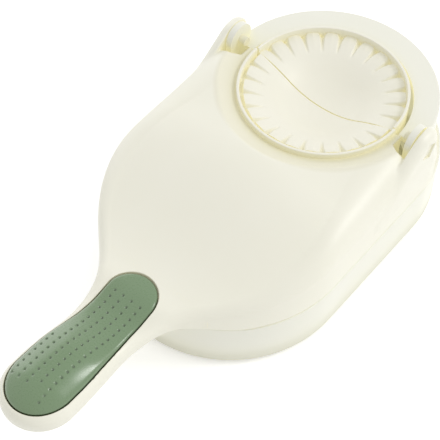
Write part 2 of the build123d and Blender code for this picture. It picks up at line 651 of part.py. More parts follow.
def lever_shell():
    """Cap over the tub, dish and rim about the lever's mould half, ears and handle top."""
    hollow = cap_solid(WALL, extra_depth=WALL) - dish_cutter(WALL) - lever_solids()
    rim = post(0, 0, -DISH_DROP, -RIM_CLEARANCE, RIM_RADIUS)
    shell = cap_solid(0.0) - (dish_cutter(0.0) - rim) - hollow
    shell = shell - prism(grip_outline(GRIP_GAP), GRIP_FLOOR, 0)
    shell = shell - post(0, 0, -REACH, REACH, RIM_RADIUS - RIM_WALL)
    shell = shell - slab((-EAR_INNER, EAR_INNER), (-RIM_CLEARANCE, REACH), (-REACH, REACH))
    shell = shell + mirrored_pair(ear())
    shell = shell - mirrored_pair(notch()) - mirrored_pair(pin_seat())
    sweep = slab((-REACH, REACH), (0, REACH), (-REACH, 0)) - rod(-REACH, REACH, PARTING_DROP)
    shell = shell - sweep
    for x, y in tab_places(-1):
        shell = shell - pilot(x, y, TAB_TOP, TAB_TOP + TAB_BITE + SCREW_TIP_GAP)
    for x, y in liner_screw_places():
        shell = shell - pilot(x, y, LINER_TOP, LINER_TOP + 2 * TAB_BITE + SCREW_TIP_GAP)
    for y in HANDLE_SCREW_SETBACKS:
        shell = shell - pilot(0, -y, HANDLE_COVER_UNDER, GRIP_FLOOR - SCREW_TIP_GAP)
    return shell


def lever_liner():
    """Plate that closes the cap from below and carries the press head."""
    room = cap_solid(WALL + LINER_GAP, extra_depth=WALL)
    plate = room & slab((-REACH, REACH), (-LINER_END, -LINER_REAR), (LINER_UNDER, LINER_TOP))
    rear = (-LINER_REAR - LINER_THICK, -LINER_REAR)
    rear_wall = slab((-RIM_RADIUS, RIM_RADIUS), rear, (LINER_TOP, -LINER_WALL_TOP))
    liner = plate + rear_wall
    cheeks = slab((LUG_INNER - CHEEK_CLEARANCE, REACH), (-NOTCH_FRONT, 0), (-REACH, REACH))
    liner = liner - mirrored_pair(cheeks)
    for x, y in liner_screw_places():
        liner = liner - pilot(x, y, LINER_UNDER, LINER_TOP)
    for x, y in ring_places(INNER_SCREW_RADIUS, -BED_SETBACK):
        liner = liner - pilot(x, y, LINER_UNDER, LINER_TOP)
    return liner


def lever_liner_screws():
    """Screws that hold the liner to the posts of the cap."""
    tip = LINER_TOP + 2 * TAB_BITE
    return [screw(x, y, LINER_UNDER, tip) for x, y in liner_screw_places()]


def press_head():
    """Round cup that flattens the dough, hung under the liner."""
    low = HEAD_RADIUS - HEAD_DRAFT
    inner = HEAD_RADIUS - HEAD_WALL
    floor = HEAD_BOTTOM + HEAD_FACE
    points = [(0, HEAD_BOTTOM), (low, HEAD_BOTTOM), (HEAD_RADIUS, LINER_UNDER),
              (inner, LINER_UNDER), (low - HEAD_WALL, floor), (0, floor)]
    head = Pos(0, -BED_SETBACK, 0) * turned(points)
    for x, y in ring_places(INNER_SCREW_RADIUS, -BED_SETBACK):
        head = head + post(x, y, floor, LINER_UNDER, BOSS_RADIUS)
        head = head - pilot(x, y, floor, LINER_UNDER)
    return head


def press_head_screws():
    """Screws that hold the press head, driven down through the liner."""
    tip = HEAD_BOTTOM + HEAD_FACE + SCREW_TIP_GAP
    places = ring_places(INNER_SCREW_RADIUS, -BED_SETBACK)
    return [screw(x, y, LINER_TOP, tip, up=False) for x, y in places]


def handle_cover():
    """Underside of the handle."""
    room = cap_solid(WALL + LINER_GAP, extra_depth=WALL)
    low = HANDLE_COVER_UNDER
    cover = room & slab((-REACH, REACH), (-REACH, -LINER_END - LINER_GAP), (low, low + LINER_THICK))
    for y in HANDLE_SCREW_SETBACKS:
        cover = cover - pilot(0, -y, low, low + LINER_THICK)
    return cover


def handle_cover_screws():
    """Screws that hold the underside of the handle."""
    tip = GRIP_FLOOR - 2 * SCREW_TIP_GAP
    return [screw(0, -y, HANDLE_COVER_UNDER, tip) for y in HANDLE_SCREW_SETBACKS]


def grip_pad():
    """Soft pad let into the top of the handle."""
    pad = prism(grip_outline(), GRIP_FLOOR, GRIP_FLOOR + GRIP_THICK)
    return fillet(pad.edges().group_by(Axis.Z)[-1], GRIP_ROUND)


def hinge_pin():
    """Right-hand pin with the keyed plate that stops it from turning in the ear."""
    outer = BODY_RADIUS - PIN_RECESS
    plate = slab((outer - PIN_PLATE_THICK, outer), (-PIN_PLATE_WIDTH / 2, PIN_PLATE_WIDTH / 2),
                 (-PIN_PLATE_HEIGHT / 2, PIN_PLATE_HEIGHT / 2))
    return plate + rod(PIN_INNER_END, outer, PIN_RADIUS)


# ---- everything, by node

def all_nodes():
    """Every piece of the press by the name of its node."""
    pieces = {
        "base_shell": base_shell(),
        "bottom_cover": bottom_cover(),
        "bottom_cover_screws": bottom_cover_screws(),
        "press_bed": press_bed(),
        "press_bed_screws": press_bed_screws(),
        "rear_mould_half": mould_half(1, REAR_RIM_RADIUS, REAR_RIM_WALL, -RIM_CLEARANCE),
        "rear_mould_screws": mould_screws(1),
        "lever_shell": lever_shell(),
        "lever_liner": lever_liner(),
        "lever_liner_screws": lever_liner_screws(),
        "press_head": press_head(),
        "press_head_screws": press_head_screws(),
        "handle_cover": handle_cover(),
        "handle_cover_screws": handle_cover_screws(),
        "lever_mould_half": mould_half(-1, LEVER_MOULD_RADIUS, RIM_WALL, -PAD_OUTER_DROP - SEAT_GAP),
        "lever_mould_screws": mould_screws(-1),
        "grip_pad": grip_pad(),
        "hinge_pin_right": hinge_pin(),
        "hinge_pin_left": mirror(hinge_pin(), Plane.YZ),
    }
    for name, (x, y) in foot_places().items():
        pieces[name] = foot(x, y)
    return pieces


def write_node(name, piece):
    """Move a piece, or a group of like pieces, into the press's own frame and save it."""
    move = Location((0, HINGE_Y, HINGE_HEIGHT))
    if isinstance(piece, list):
        placed = Compound(children=[solid.solid().moved(move) for solid in piece])
    else:
        placed = piece.moved(move)
    export_step(placed, "parts/" + name + ".step")


os.makedirs("parts", exist_ok=True)
for node_name, node_piece in all_nodes().items():
    write_node(node_name, node_piece)
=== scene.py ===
import json
import math

import bmesh
import bpy
import numpy as np
from mathutils import Matrix, Vector


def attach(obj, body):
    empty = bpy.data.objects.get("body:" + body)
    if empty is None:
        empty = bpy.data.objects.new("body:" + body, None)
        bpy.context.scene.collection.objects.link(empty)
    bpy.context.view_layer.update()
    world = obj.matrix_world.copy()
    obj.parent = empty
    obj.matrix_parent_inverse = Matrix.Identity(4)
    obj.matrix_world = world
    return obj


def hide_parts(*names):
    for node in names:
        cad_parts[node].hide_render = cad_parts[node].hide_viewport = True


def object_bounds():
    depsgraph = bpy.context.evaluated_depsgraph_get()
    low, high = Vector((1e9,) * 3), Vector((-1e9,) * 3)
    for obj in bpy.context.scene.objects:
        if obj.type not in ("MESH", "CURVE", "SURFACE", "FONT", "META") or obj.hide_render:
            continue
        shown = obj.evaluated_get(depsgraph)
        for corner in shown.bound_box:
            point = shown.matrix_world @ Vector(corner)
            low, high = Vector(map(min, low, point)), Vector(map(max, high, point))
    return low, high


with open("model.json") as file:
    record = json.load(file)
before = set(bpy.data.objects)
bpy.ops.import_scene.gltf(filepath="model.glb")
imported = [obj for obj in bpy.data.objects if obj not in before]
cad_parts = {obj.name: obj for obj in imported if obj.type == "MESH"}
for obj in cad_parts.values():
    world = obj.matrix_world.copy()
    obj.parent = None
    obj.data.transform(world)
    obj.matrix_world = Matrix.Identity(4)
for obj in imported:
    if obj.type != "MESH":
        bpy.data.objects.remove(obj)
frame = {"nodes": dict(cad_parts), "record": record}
CAD_BOX = [list(corner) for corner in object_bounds()]

# Lengths are in millimetres about the hinge axis (X along the hinge, -Y towards
# the handle), unless a section says otherwise, and are moved into the row's frame
# when a mesh is made. A setback is a distance from the hinge towards the handle.
# A pair of setbacks, radii or heights is the stretch over which one form eases
# into the next.
MM_PER_M = 1000.0
TINY = 1e-9
HINGE_Y = 81.7
HINGE_HEIGHT = 68.0

# ---- camera: its place in metres, its angles in degrees
CAMERA_PLACE = (0.2284, -0.2782, 0.5238)
CAMERA_AZIMUTH = 39.619
CAMERA_ELEVATION = 53.470
CAMERA_LENS = 98.18
CAMERA_SENSOR = 36.0
CAMERA_NEAR = 0.01

# ---- room, lamps and floor, in metres
ROOM_LEVEL = 0.745
ROOM_SIDES = 0.28
ROOM_REAR = 0.12
ROOM_RIGHT = 0.09
LAMP_TARGET = (0, 0, 0.03)
# Each lamp: name, place, size, power
LAMPS = (
    ("key", (1.1, 0.95, 1.5), 0.6, 9.0),
    ("left", (-1.6, 0.6, 0.6), 1.6, 5.0),
)
FLOOR_HALF = 3.0
FLOOR_SHADE = (0.86, 0.86, 0.86)
FLOOR_ROUGHNESS = 0.7
FLOOR_SHEEN = 0.2
FLOOR_LIFT = 0.34

# ---- colours
LEVER_COLOR = (0.83, 0.815, 0.71)
BASE_COLOR = (0.80, 0.795, 0.71)
GRIP_COLOR = (0.148, 0.235, 0.118)
STEEL_COLOR = (0.62, 0.63, 0.65)
RUBBER_COLOR = (0.075, 0.075, 0.07)
WHITE = (1.0, 1.0, 1.0)
BLACK = (0.0, 0.0, 0.0)

# ---- finishes and surface grain
# Each plastic's roughness, depth of flow marks and gloss coat
CREAM_FINISH = (0.38, 0.015, 0.0)
GRIP_FINISH = (0.28, 0.06, 0.8)
RUBBER_FINISH = (0.75, 0.2, 0.0)
CLOUD_SCALE = 28.0
CLOUD_DETAIL = 3.0
CLOUD_SPAN = (0.3, 0.7)
GRAIN_SCALE = 900.0
GRAIN_DETAIL = 2.0
GRAIN_BUMP = 0.12
GLOSS_SPREAD = 0.05
COAT_ROUGHNESS = 0.22
STEEL_SCALE = 1500.0
STEEL_DETAIL = 3.0
STEEL_GLOSS = (0.24, 0.48)
STEEL_BUMP = 0.2
BUMP_DEPTH = 0.0001

# ---- gaps: reaches in metres, painted shade tints and painted glows by how open a place is
AO_SAMPLES = 8
CORNER_REACH = 0.02
SPACE_REACH = 0.08
# Painted shade in the grip's pits and along its edge line, by how closed in they are
PIT_REACH = 0.0016
PIT_SPAN = (0.45, 0.95)
PIT_SHADE = 0.25
# Painted shade: a warmer, darker tint where walls close a corner in
CORNER_SHADE_TINTS = (
    (0.1, (1.0, 0.97, 0.78)),
    (0.45, (0.965, 0.95, 0.86)),
    (0.75, (0.955, 0.95, 0.895)),
    (0.93, WHITE),
)
# Painted light: a glow that lifts corners and closed spaces so they never go black
CORNER_GLOW = (
    (0.1, (0.095, 0.092, 0.07)),
    (0.85, BLACK),
)
HOLLOW_LIGHT = (0.06, 0.058, 0.042)
SPACE_GLOW = (
    (0.04, (0.15, 0.145, 0.11)),
    (0.2, (0.16, 0.153, 0.10)),
    (0.4, HOLLOW_LIGHT),
    (0.55, HOLLOW_LIGHT),
    (0.95, BLACK),
)
# The dish's painted shade, by share of the tinted radius: a little darker inside, darker and warmer down
# its slope, none from its crest out
DISH_TINT_RADIUS = 60.0
DISH_SHADE_TINTS = (
    (0.0, (0.985, 0.98, 0.985)),
    (0.74, (0.985, 0.98, 0.985)),
    (0.77, (0.925, 0.915, 0.86)),
    (0.93, (0.94, 0.93, 0.885)),
    (0.965, WHITE),
)
# Where the painted glow comes in, by height and place along the press in the row's
# frame, and the crescent outside the rear mould where it is stronger
GLOW_HEIGHTS = (5.0, 12.0)
GLOW_ALONG = (-75.0, -60.0)
CRESCENT_RADII = (44.5, 46.5)
CRESCENT_ALONG = (HINGE_Y + 2.0, HINGE_Y + 8.0)
CRESCENT_GAIN = 0.7

# ---- lever cap and handle
BODY_RADIUS = 65.3
BED_SETBACK = 76.0
PARTING_DROP = 36.0
TUB_FRONT = BED_SETBACK + BODY_RADIUS
NECK_START = TUB_FRONT + 0.7
NECK_BLEND = 53.0
WAIST_HALF = 16.6
BULB_RADIUS = 19.3
BULB_SETBACK = 210.6
BULB_STARTS = (167.0, 206.0)
HANDLE_TOP_DROP = 18.4
HANDLE_EDGE_DROP = 28.8
EDGE_RISES = (TUB_FRONT - 21.3, TUB_FRONT + 8.7)
WAIST_DIP = 2.8
DIP_STARTS = (145.0, 163.0)
DIP_ENDS = (168.0, 192.0)
WAIST_SAG = 1.5
SAG_STARTS = (150.0, 168.0)
SAG_ENDS = (182.0, 202.0)
CREST_RADIUS = 57.5
CREST_RISE = 3.0
REAR_RISE = 0.4
CAP_CORNER = 12.5
REAR_CORNER_GAIN = 8.5
REAR_CORNER_ENDS = (28.0, 78.0)
HANDLE_CORNER = 4.5
SHOULDER_DROP = 13.0
FRONT_SHOULDER_DROP = 2.0
HANDLE_SHOULDER_DROP = 10.0
CROWN = 5.5
CROWN_STARTS = (8.0, 70.0)
HANDLE_CROWN = 0.5
GENTLEST_SLOPE = 1.0 / 60.0
LOWER_ROUND = 1.0
PARTING_HALF = 0.15
PARTING_ROUND = 0.5
WALL = 2.4

# ---- dish and the well under the mould
DISH_DROP = 3.2
DISH_STRAIGHT = 0.6
DISH_SPREAD = 1.5
DISH_SLOPE = 0.85
DISH_BLEND = 1.0
RIM_RADIUS = 45.1
RIM_WALL = 1.6
REAR_RIM_RADIUS = 44.3
REAR_RIM_WALL = 1.5
WELL_INSET = 0.6
WELL_DROP = 19.5

# ---- ears, lug notches and ear windows
EAR_INNER = 59.1
EAR_RISE = 8.0
EAR_REACH = 10.0
EAR_ROUND = 7.0
EAR_SIDE_ROUND = 5.5
EAR_INNER_ROUND = 0.9
EAR_BOTTOM = -30.0
EAR_FRONT = -45.0
EAR_BLEND = 2.5
RAMP_FOOT_Y = -13.8
RAMP_FOOT_Z = 1.1
RAMP_TURN = 0.57
RAMP_BLEND = 3.0
NOTCH_INNER = 49.0
NOTCH_FRONT = 12.5
NOTCH_SLANT_X = 50.3
NOTCH_SLANT_Y = -9.0
NOTCH_OVERRUN = 1.5
NOTCH_ROUND = 0.9
WINDOW_HALF_LENGTH = 3.5
WINDOW_HALF_HEIGHT = 4.2
WINDOW_DEPTH = 1.15
WINDOW_DROP = 2.0
WINDOW_LEAN = 27.0
WINDOW_ROUND = 0.4

# ---- crimping mould
BOWL_DEPTH = 16.0
# The floor of the mould, from its middle out: radius, height
MOULD_FLOOR = (
    (0.0, -BOWL_DEPTH),
    (9.0, -15.2),
    (18.0, -12.5),
    (26.0, -8.5),
    (31.0, -6.2),
    (36.0, -4.4),
    (45.0, -2.6),
)
FLOOR_SAMPLES = 181
BAND_OUTER = 41.3
REAR_BAND_GAP = 0.2
GROOVES_PER_HALF = 12
GROOVE_PITCH = 14.4
# A groove's half width and depth: at its inner end, what it gains, what it flares
GROOVE_HALF_WIDTHS = (0.95, 0.3, 1.3)
GROOVE_DEPTHS = (0.5, 1.3, 1.4)
GROOVE_FADE = 1.5
GROOVE_ROUND = 0.02
GROOVE_STRAIGHT = 0.45
CRIMP_START = 31.5
CRIMP_END = 42.5
CRIMP_PUFF = 0.55
REAR_TURN = 1.9
MOULD_GAP = 0.75
PAD_LIFT = 1.2
# Each half's gutter: how far inside the rim's wall, height
REAR_GUTTER = ((0.05, -4.6), (0.0, -3.8))
FRONT_GUTTER = ((1.8, -4.9), (1.3, -5.3), (0.3, -5.3), (0.0, -4.8))
MOULD_RIM_ROUND = 0.45
MOULD_WALL = 2.2
SKIRT_DROP = 12.0
SKIRT_INNER_DROP = 7.5
SKIRT_CORNER = 2.0
BOWL_COARSE_RADIUS = 24.0
BOWL_SAMPLES = 13
BAND_SAMPLES = 45
UNDER_SAMPLES = 16
ARC_SAMPLES = 5
MOULD_STEPS = 360
MOULD_WELD = 0.004
MOULD_SHARP = 40.0

# ---- grip
GRIP_FRONT_RADIUS = 13.3
GRIP_FRONT_SETBACK = 150.7
GRIP_WAIST_HALF = 13.3
GRIP_WAIST_SETBACK = 162.0
GRIP_WIDE_SETBACK = 202.0
GRIP_END_RADIUS = 16.2
GRIP_END_REACH = 17.6
GRIP_END_SETBACK = 208.6
GRIP_GAP = 0.55
GRIP_SEAT = 24.0
GRIP_SEAT_ROUND = 0.35
GRIP_EDGE_DROP = 0.3
GRIP_FRONT_SWELL = 0.9
GRIP_SWELL = 4.8
GRIP_SWELLS = (162.0, 204.0)
GRIP_DOME_WIDTH = 15.6
GRIP_DOME_POWER = 2.1
GRIP_LIP = 0.9
GRIP_LIP_DROP = 0.5
GRIP_LIP_WIDTH = 0.5
DIMPLE_PITCH = 3.68
DIMPLE_START = 152.2
DIMPLE_RADIUS = 0.8
DIMPLE_DEPTH = 0.75
# Rows of dimples: place across the pad, first and last setback
DIMPLE_ROWS = (
    (-12.6, 188.0, 219.0),
    (-7.8, 150.0, 215.0),
    (-2.6, 150.0, 218.0),
    (2.6, 150.0, 214.0),
    (7.9, 150.0, 220.5),
)
GRIP_FRONT_SAMPLES = 40
GRIP_END_SAMPLES = 46
GRIP_SAMPLE_GAP = 0.34
GRIP_TIP_TURN = 0.02
GRIP_WIDEST = 30.0
GRIP_HALVINGS = 40
GRIP_LANES = 97
GRIP_LANE_CROWDING = 0.35
GRIP_WELD = 0.01
GRIP_SHARP = 50.0

# ---- sampling of the lever along X, Y and Z: runs of start, end, spacing
CAP_GRID = (
    ((-66.2, -57.0, 0.45), (-57.0, 57.0, 1.0), (57.0, 66.2, 0.45)),
    ((-137.5, -62.0, 1.1), (-62.0, -14.0, 0.9), (-14.0, 10.9, 0.45)),
    ((-37.0, -14.0, 1.2), (-14.0, 9.0, 0.6)),
)
HANDLE_GRID = (
    ((-38.0, -20.9, 1.0), (-20.9, 20.9, 0.38), (20.9, 38.0, 1.0)),
    ((-230.7, -134.5, 0.38),),
    ((-37.0, -28.0, 1.0), (-28.0, -12.0, 0.42)),
)
SLOPE_STEP = 0.02
SETTLING_ROUNDS = 4
LEAST_SLOPE_SQUARED = 0.05
LONGEST_MOVE = 0.4
# A field value so low that it cuts nothing away
DEEP_INSIDE = -100.0


def eased(value, start, end):
    share = np.clip((value - start) / (end - start), 0.0, 1.0)
    return share * share * (3.0 - 2.0 * share)


def soft_max(a, b, reach):
    """Larger of two fields, melted together over a reach."""
    lean = np.clip(reach - np.abs(a - b), 0.0, None) / reach
    return np.maximum(a, b) + lean * lean * lean * reach / 6.0


def soft_min(a, b, reach):
    return -soft_max(-a, -b, reach)


def round_max(a, b, radius):
    """Overlap of two fields with its edge rounded to a radius."""
    outside = np.hypot(np.maximum(a + radius, 0.0), np.maximum(b + radius, 0.0))
    return np.minimum(np.maximum(a, b), -radius) + outside


# ---- lever: one smooth field, negative inside

def plan_field(x, setback):
    """Distance to the outline of the lever in plan."""
    across = np.abs(x)
    ahead = np.maximum(setback - BED_SETBACK, 0.0)
    body = np.hypot(across, ahead) - BODY_RADIUS
    half = WAIST_HALF + (BULB_RADIUS - WAIST_HALF) * eased(setback, *BULB_STARTS)
    past = np.maximum(setback - BULB_SETBACK, 0.0)
    shaft = np.hypot(np.maximum(across - half + BULB_RADIUS, 0.0), past) - BULB_RADIUS
    shaft = np.where(past > 0, shaft, across - half)
    return soft_min(body, shaft, NECK_BLEND)


def lower_edge(setback):
    rise = eased(setback, *EDGE_RISES)
    sag = WAIST_SAG * eased(setback, *SAG_STARTS) * (1.0 - eased(setback, *SAG_ENDS))
    return -PARTING_DROP + (PARTING_DROP - HANDLE_EDGE_DROP) * rise - sag


def handle_dip(setback):
    """How far the handle's top sinks at its waist."""
    return WAIST_DIP * eased(setback, *DIP_STARTS) * (1.0 - eased(setback, *DIP_ENDS))


def cap_field(x, y, z):
    """Cap and handle: crowned top, rounding along the edge, upright side."""
    setback = -y
    plan = plan_field(x, setback)
    to_handle = eased(setback, BED_SETBACK, NECK_START)
    corner = CAP_CORNER + REAR_CORNER_GAIN * (1.0 - eased(setback, *REAR_CORNER_ENDS))
    corner = corner + (HANDLE_CORNER - CAP_CORNER) * to_handle
    crown = CROWN * eased(setback, *CROWN_STARTS) + (HANDLE_CROWN - CROWN) * to_handle
    room = (BODY_RADIUS - corner) + (WAIST_HALF - BODY_RADIUS) * to_handle
    off = 1.0 - np.clip(-(plan + corner) / room, 0.0, 1.0)
    fall = eased(setback, CREST_RADIUS, NECK_START)
    rear = REAR_RISE * (1.0 - eased(setback, 0.0, CREST_RADIUS))
    top = CREST_RISE + rear - (CREST_RISE + HANDLE_TOP_DROP) * fall
    top = top - crown * off * off - handle_dip(setback)
    shoulder = -SHOULDER_DROP - FRONT_SHOULDER_DROP * eased(setback, 0.0, CREST_RADIUS)
    shoulder = shoulder - HANDLE_SHOULDER_DROP * to_handle
    height = top - shoulder
    out = np.maximum(plan + corner, 0.0) / corner
    up = np.maximum(z - shoulder, 0.0) / height
    size = np.hypot(out, up)
    safe = np.maximum(size, TINY)
    slope = np.hypot(out / safe / corner, up / safe / height)
    over = (size - 1.0) / np.maximum(slope, GENTLEST_SLOPE)
    return round_max(over, lower_edge(setback) - z, LOWER_ROUND)


def dish_field(x, y, z):
    """Space over the round dish."""
    share = (np.hypot(x, y) - RIM_RADIUS) / (CREST_RADIUS - RIM_RADIUS)
    share = np.clip(share, 0.0, DISH_SPREAD)
    rise = DISH_STRAIGHT * share + (1.0 - DISH_STRAIGHT) * share * share
    floor = -DISH_DROP + (CREST_RISE + DISH_DROP) * rise
    return (floor - z) * DISH_SLOPE


def ear_field(x, y, z):
    """Both ears: a rounded cheek, ramped down towards the cap."""
    outline = round_max(z - EAR_RISE, y - EAR_REACH, EAR_ROUND)
    ramp = (z - RAMP_FOOT_Z) * math.cos(RAMP_TURN) - (y - RAMP_FOOT_Y) * math.sin(RAMP_TURN)
    outline = soft_max(outline, ramp, RAMP_BLEND)
    outline = np.maximum(outline, EAR_BOTTOM - z)
    outline = np.maximum(outline, EAR_FRONT - y)
    sides = round_max(outline, np.abs(x) - BODY_RADIUS, EAR_SIDE_ROUND)
    return round_max(sides, EAR_INNER - np.abs(x), EAR_INNER_ROUND)


def notch_field(x, y):
    """Slot for the base's lug, slanted at its inner front corner."""
    across = np.abs(x)
    slant = -((across - NOTCH_SLANT_X) + (y - NOTCH_SLANT_Y)) * math.sqrt(0.5)
    field = np.maximum(np.maximum(NOTCH_INNER - across, -NOTCH_FRONT - y), slant)
    return np.maximum(field, across - EAR_INNER - NOTCH_OVERRUN)


def grip_plan(x, setback):
    """Distance to the outline of the grip in plan."""
    across = np.abs(x)
    narrowing = eased(setback, GRIP_FRONT_SETBACK, GRIP_WAIST_SETBACK)
    widening = eased(setback, GRIP_WAIST_SETBACK, GRIP_WIDE_SETBACK)
    half = GRIP_FRONT_RADIUS + (GRIP_WAIST_HALF - GRIP_FRONT_RADIUS) * narrowing
    half = half + (GRIP_END_RADIUS - GRIP_WAIST_HALF) * widening
    side = across - half
    front = np.hypot(across, setback - GRIP_FRONT_SETBACK) - GRIP_FRONT_RADIUS
    along = (setback - GRIP_END_SETBACK) * GRIP_END_RADIUS / GRIP_END_REACH
    end = np.hypot(across, along) - GRIP_END_RADIUS
    field = np.where(setback < GRIP_FRONT_SETBACK, front, side)
    return np.where(setback > GRIP_END_SETBACK, end, field)


def window_field(x, y, z):
    """Rectangular pocket in the outside of each ear."""
    lean = math.radians(WINDOW_LEAN)
    above = z + WINDOW_DROP
    along = y * math.cos(lean) - above * math.sin(lean)
    up = y * math.sin(lean) + above * math.cos(lean)
    across = np.maximum(np.abs(along) - WINDOW_HALF_LENGTH, np.abs(up) - WINDOW_HALF_HEIGHT)
    return np.maximum(across, BODY_RADIUS - WINDOW_DEPTH - np.abs(x))


def lever_field(x, y, z):
    """The lever's moulding: cap, ears and handle, hollow from below."""
    setback = -y
    body = soft_max(cap_field(x, y, z), -dish_field(x, y, z), DISH_BLEND)
    well = np.maximum(np.hypot(x, y) - RIM_RADIUS + WELL_INSET, -WELL_DROP - z)
    body = np.maximum(body, -well)
    behind = np.maximum(-PARTING_HALF - y, np.abs(x) - EAR_INNER)
    body = round_max(body, -behind, PARTING_ROUND)
    body = round_max(body, -notch_field(x, y), NOTCH_ROUND)
    body = soft_min(body, ear_field(x, y, z), EAR_BLEND)
    body = np.maximum(body, y - EAR_REACH)
    body = np.maximum(body, np.where(y > 0, np.hypot(y, z) - PARTING_DROP, DEEP_INSIDE))
    body = round_max(body, -window_field(x, y, z), WINDOW_ROUND)
    recess = np.maximum(plan_field(x, setback) + WALL, z - lower_edge(setback) - WALL)
    body = np.maximum(body, -recess)
    seat = np.maximum(grip_plan(x, setback) - GRIP_GAP, -GRIP_SEAT - z)
    return round_max(body, -seat, GRIP_SEAT_ROUND)


# ---- meshes from fields

def graded(runs):
    """Grid lines along one axis, each run starting where the last ends."""
    lines = []
    for start, end, gap in runs:
        count = max(2, int(round((end - start) / gap)) + 1)
        lines.append(np.linspace(start, end, count)[:-1])
    return np.concatenate(lines + [np.array([runs[-1][1]])])


def edge_crossings(values, axes, axis):
    """Where the field changes sign on the grid's edges along one axis."""
    near = np.take(values, range(values.shape[axis] - 1), axis)
    far = np.take(values, range(1, values.shape[axis]), axis)
    crossed = (near < 0) != (far < 0)
    share = np.where(crossed, near / np.where(crossed, near - far, 1.0), 0.0)
    point = []
    for other in range(3):
        line = axes[other]
        view = [1, 1, 1]
        view[other] = -1
        if other == axis:
            point.append(line[:-1].reshape(view) + share * np.diff(line).reshape(view))
        else:
            point.append(np.broadcast_to(line.reshape(view), near.shape))
    return crossed, np.stack(point, -1) * crossed[..., None]


def crossing_sums(values, axes):
    """Per cell: the sum of the crossings on its edges, and how many there are."""
    shape = tuple(n - 1 for n in values.shape)
    total = np.zeros(shape + (3,))
    count = np.zeros(shape)
    for axis in range(3):
        crossed, point = edge_crossings(values, axes, axis)
        others = [n for n in range(3) if n != axis]
        for first in (0, 1):
            for second in (0, 1):
                cut = [slice(None)] * 3
                cut[others[0]] = slice(first, first + shape[others[0]])
                cut[others[1]] = slice(second, second + shape[others[1]])
                total += point[tuple(cut)]
                count += crossed[tuple(cut)]
    return total, count


def field_slopes(field, points):
    slopes = np.zeros_like(points)
    for axis in range(3):
        shift = np.zeros(3)
        shift[axis] = SLOPE_STEP
        ahead = points + shift
        back = points - shift
        slopes[:, axis] = field(*ahead.T) - field(*back.T)
    return slopes / (2 * SLOPE_STEP)


def settled(field, points):
    """Points moved onto the surface where the field is zero."""
    for _ in range(SETTLING_ROUNDS):
        slopes = field_slopes(field, points)
        size = np.maximum((slopes ** 2).sum(1), LEAST_SLOPE_SQUARED)
        move = slopes * (field(*points.T) / size)[:, None]
        length = np.maximum(np.linalg.norm(move, axis=1), TINY)
        points = points - move * np.minimum(1.0, LONGEST_MOVE / length)[:, None]
    return points


def surface_quads(inside, number):
    """A quad round each grid edge that crosses the surface, facing outwards."""
    quads = []
    for axis in range(3):
        second = (axis + 1) % 3
        third = (axis + 2) % 3
        near = np.take(inside, range(inside.shape[axis] - 1), axis)
        far = np.take(inside, range(1, inside.shape[axis]), axis)
        for state, flip in ((near & ~far, False), (far & ~near, True)):
            cell = np.stack(np.nonzero(state), 1)
            keep = (cell[:, second] > 0) & (cell[:, third] > 0)
            keep &= cell[:, second] < inside.shape[second] - 1
            keep &= cell[:, third] < inside.shape[third] - 1
            cell = cell[keep]
            ring = []
            for second_step, third_step in ((-1, -1), (0, -1), (0, 0), (-1, 0)):
                place = cell.copy()
                place[:, second] += second_step
                place[:, third] += third_step
                ring.append(number[tuple(place.T)])
            if flip:
                ring.reverse()
            quads.append(np.stack(ring, 1))
    return np.concatenate(quads)


def field_surface(field, grid):
    """Vertices, quads and unit normals of the surface where a field is zero."""
    axes = [graded(runs) for runs in grid]
    values = field(*np.meshgrid(*axes, indexing="ij"))
    total, count = crossing_sums(values, axes)
    used = count > 0
    number = np.full(used.shape, -1)
    number[used] = np.arange(used.sum())
    points = settled(field, total[used] / count[used][:, None])
    slopes = field_slopes(field, points)
    normals = slopes / np.maximum(np.linalg.norm(slopes, axis=1), TINY)[:, None]
    return points, surface_quads(values < 0, number), normals


def to_frame(points):
    return (np.asarray(points) + np.array([0.0, HINGE_Y, HINGE_HEIGHT])) / MM_PER_M


def mesh_piece(name, points, faces, normals=None):
    mesh = bpy.data.meshes.new(name)
    mesh.from_pydata(to_frame(points).tolist(), [], [list(map(int, face)) for face in faces])
    mesh.update()
    mesh.shade_smooth()
    if normals is not None:
        mesh.normals_split_custom_set_from_vertices(normals.tolist())
    obj = bpy.data.objects.new(name, mesh)
    bpy.context.scene.collection.objects.link(obj)
    return obj


def weld(obj, distance, sharp):
    """Joins coincident points, points the faces outwards and keeps real corners crisp."""
    shape = bmesh.new()
    shape.from_mesh(obj.data)
    bmesh.ops.remove_doubles(shape, verts=shape.verts, dist=distance / MM_PER_M)
    bmesh.ops.dissolve_degenerate(shape, edges=shape.edges, dist=distance / MM_PER_M / 10)
    bmesh.ops.recalc_face_normals(shape, faces=shape.faces)
    shape.to_mesh(obj.data)
    shape.free()
    obj.data.shade_smooth()
    obj.data.set_sharp_from_angle(angle=math.radians(sharp))
    return obj


def lever_cap():
    return mesh_piece("lever_cap", *field_surface(lever_field, CAP_GRID))


def lever_handle():
    return mesh_piece("lever_handle", *field_surface(lever_field, HANDLE_GRID))


# ---- grip pad

def dimple_depth(x, setback):
    """Rows of small round pits along the pad."""
    depth = np.zeros_like(x)
    place = DIMPLE_START + np.round((setback - DIMPLE_START) / DIMPLE_PITCH) * DIMPLE_PITCH
    for across, first, last in DIMPLE_ROWS:
        near = np.hypot(x - across, setback - place)
        allowed = (place >= first) & (place <= last)
        pit = np.clip(1.0 - (near / DIMPLE_RADIUS) ** 2, 0.0, 1.0)
        depth = np.maximum(depth, np.where(allowed, DIMPLE_DEPTH * pit * np.sqrt(pit), 0.0))
    return depth


